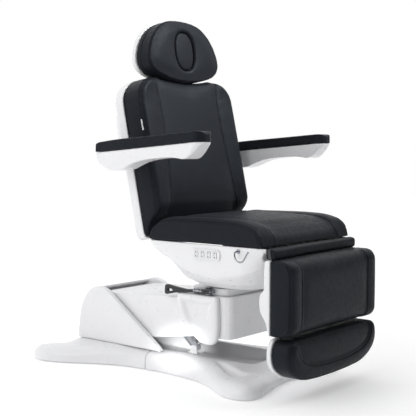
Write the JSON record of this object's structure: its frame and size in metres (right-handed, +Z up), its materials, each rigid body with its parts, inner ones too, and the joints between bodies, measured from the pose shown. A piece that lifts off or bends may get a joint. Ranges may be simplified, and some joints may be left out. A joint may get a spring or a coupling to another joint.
{
  "type": "facial treatment bed",
  "caption": "Electric facial treatment bed: padded seat, back, leg and foot rests with lifting arm, swivel column and wide rocker base.",
  "frame": {"origin": "on the floor, under the middle of the bed's bounding box", "axes": "+X towards the foot end, +Y to the sitter's left, +Z up"},
  "size_m": [1.3372, 0.898, 1.4525],
  "materials": {
    "white_plastic": "glossy moulded shell",
    "black_leatherette": "fine-grained leatherette, satin",
    "black_plastic": "satin",
    "steel": "zinc-plated",
    "painted_steel": "powder coat",
    "chrome": "polished",
    "rubber": "matt",
    "key_plastic": "satin"
  },
  "bodies": {
    "base": {"base_frame": "painted_steel", "base_cover_rear": "white_plastic", "base_cover_front": "white_plastic", "tower_cover": "white_plastic", "tower_bracket": "steel", "arm_pivot_pin": "steel", "mains_inlet": "black_plastic", "foot_rear_right": "rubber", "foot_rear_left": "rubber", "foot_front_right": "rubber", "foot_front_left": "rubber"},
    "lift_arm": {"lift_arm": "painted_steel", "lift_arm_cover": "white_plastic"},
    "parallel_link": {"parallel_link": "painted_steel"},
    "lift_motor": {"lift_motor": "black_plastic"},
    "lift_rod": {"lift_rod": "steel"},
    "column": {"column_bracket": "steel", "column_pivot_pin": "steel", "side_shield_right": "white_plastic", "side_shield_left": "white_plastic", "column_front_cover": "white_plastic", "column_top_plate": "white_plastic", "swivel_bearing": "steel", "lock_hub": "chrome"},
    "lock_lever": {"lock_lever": "black_plastic"},
    "swivel": {"swivel_plate": "steel"},
    "seat": {"seat_frame": "painted_steel", "seat_shell": "white_plastic", "seat_cushion": "black_leatherette", "button_panel": "white_plastic", "remote_hook": "chrome", "back_hinge_ear_right": "black_plastic", "back_hinge_ear_left": "black_plastic", "back_hinge_pin": "steel"},
    "key_1": {"rocker_key_1": "key_plastic"},
    "key_2": {"rocker_key_2": "key_plastic"},
    "key_3": {"rocker_key_3": "key_plastic"},
    "key_4": {"rocker_key_4": "key_plastic"},
    "back": {"back_frame": "painted_steel", "back_shell": "white_plastic", "back_cushion": "black_leatherette", "back_rear_cover": "white_plastic"},
    "head_slide": {"headrest_posts": "steel"},
    "head": {"head_bracket": "black_plastic", "head_shell": "white_plastic", "head_cushion": "black_leatherette"},
    "head_plug": {"head_plug": "black_leatherette"},
    "arm_carrier_right": {"arm_pivot_right": "black_plastic"},
    "arm_carrier_left": {"arm_pivot_left": "black_plastic"},
    "arm_right": {"arm_pad_right": "black_leatherette", "arm_shell_right": "white_plastic"},
    "arm_left": {"arm_pad_left": "black_leatherette", "arm_shell_left": "white_plastic"},
    "leg": {"leg_frame": "painted_steel", "leg_shell": "white_plastic", "leg_cushion": "black_leatherette", "knee_pad": "black_leatherette"},
    "foot": {"foot_cushion": "black_leatherette", "foot_shell": "white_plastic", "foot_rails": "steel"}
  },
  "joints": [
    {"name": "lift", "type": "hinge", "parent": "base", "child": "lift_arm", "pos_m": [-0.3984, 0, 0.213], "axis": [0, -1, 0], "range_deg": [0, 36]},
    {"name": "column_level", "type": "hinge", "parent": "lift_arm", "child": "column", "pos_m": [0.1066, 0, 0.243], "axis": [0, -1, 0], "range_deg": [-36, 0]},
    {"name": "link_swing", "type": "hinge", "parent": "base", "child": "parallel_link", "pos_m": [-0.3984, 0, 0.163], "axis": [0, -1, 0], "range_deg": [0, 36]},
    {"name": "lift_motor_swing", "type": "hinge", "parent": "base", "child": "lift_motor", "pos_m": [-0.0934, 0, 0.05], "axis": [0, -1, 0], "range_deg": [-7, 0.5]},
    {"name": "lift_rod_stroke", "type": "slide", "parent": "lift_motor", "child": "lift_rod", "axis": [-0.7304, 0, 0.683], "range_m": [0, 0.068]},
    {"name": "swivel", "type": "hinge", "parent": "column", "child": "swivel", "pos_m": [0.1666, 0, 0.375], "axis": [0, 0, 1], "range_deg": [-110, 110]},
    {"name": "lock_swing", "type": "hinge", "parent": "column", "child": "lock_lever", "pos_m": [0.1886, -0.176, 0.356], "axis": [0, 0, 1], "range_deg": [0, 30]},
    {"name": "seat_tilt", "type": "hinge", "parent": "swivel", "child": "seat", "pos_m": [0.1266, 0, 0.392], "axis": [0, -1, 0], "range_deg": [0, 12]},
    {"name": "key_1_rock", "type": "hinge", "parent": "seat", "child": "key_1", "pos_m": [0.2326, -0.3065, 0.52], "axis": [1, 0, 0], "range_deg": [-4, 4], "stiffness_Nm_per_rad": 0.4},
    {"name": "key_2_rock", "type": "hinge", "parent": "seat", "child": "key_2", "pos_m": [0.2626, -0.3065, 0.52], "axis": [1, 0, 0], "range_deg": [-4, 4], "stiffness_Nm_per_rad": 0.4},
    {"name": "key_3_rock", "type": "hinge", "parent": "seat", "child": "key_3", "pos_m": [0.2926, -0.3065, 0.52], "axis": [1, 0, 0], "range_deg": [-4, 4], "stiffness_Nm_per_rad": 0.4},
    {"name": "key_4_rock", "type": "hinge", "parent": "seat", "child": "key_4", "pos_m": [0.3226, -0.3065, 0.52], "axis": [1, 0, 0], "range_deg": [-4, 4], "stiffness_Nm_per_rad": 0.4},
    {"name": "back_recline", "type": "hinge", "parent": "seat", "child": "back", "pos_m": [-0.0434, 0, 0.53], "axis": [0, -1, 0], "range_deg": [0, 77.8]},
    {"name": "head_extend", "type": "slide", "parent": "back", "child": "head_slide", "axis": [-0.2113, 0, 0.9774], "range_m": [0, 0.08]},
    {"name": "head_tilt", "type": "hinge", "parent": "head_slide", "child": "head", "pos_m": [-0.18795, 0, 1.19855], "axis": [0, -1, 0], "range_deg": [0, 35]},
    {"name": "plug_pull", "type": "slide", "parent": "head", "child": "head_plug", "axis": [0.9925, 0, 0.1219], "range_m": [0, 0.09]},
    {"name": "arm_level_right", "type": "hinge", "parent": "back", "child": "arm_carrier_right", "pos_m": [-0.1034, -0.33, 0.872], "axis": [0, -1, 0], "range_deg": [-78, 0]},
    {"name": "arm_level_left", "type": "hinge", "parent": "back", "child": "arm_carrier_left", "pos_m": [-0.1034, 0.33, 0.872], "axis": [0, -1, 0], "range_deg": [-78, 0]},
    {"name": "arm_raise_right", "type": "hinge", "parent": "arm_carrier_right", "child": "arm_right", "pos_m": [-0.1034, -0.404, 0.872], "axis": [0, -1, 0], "range_deg": [0, 90]},
    {"name": "arm_raise_left", "type": "hinge", "parent": "arm_carrier_left", "child": "arm_left", "pos_m": [-0.1034, 0.404, 0.872], "axis": [0, -1, 0], "range_deg": [0, 90]},
    {"name": "leg_raise", "type": "hinge", "parent": "seat", "child": "leg", "pos_m": [0.5516, 0, 0.55], "axis": [0, -1, 0], "range_deg": [0, 90]},
    {"name": "foot_extend", "type": "slide", "parent": "leg", "child": "foot", "axis": [0, 0, -1], "range_m": [0, 0.1]}
  ],
  "couplings": [
    {"joint": "column_level", "follows": "lift", "ratio": -1},
    {"joint": "link_swing", "follows": "lift", "ratio": 1},
    {"joint": "lift_motor_swing", "follows": "lift", "ratio": -0.1751},
    {"joint": "lift_rod_stroke", "follows": "lift", "m_per_rad": 0.10727},
    {"joint": "arm_level_right", "follows": "back_recline", "ratio": -1},
    {"joint": "arm_level_left", "follows": "back_recline", "ratio": -1}
  ]
}
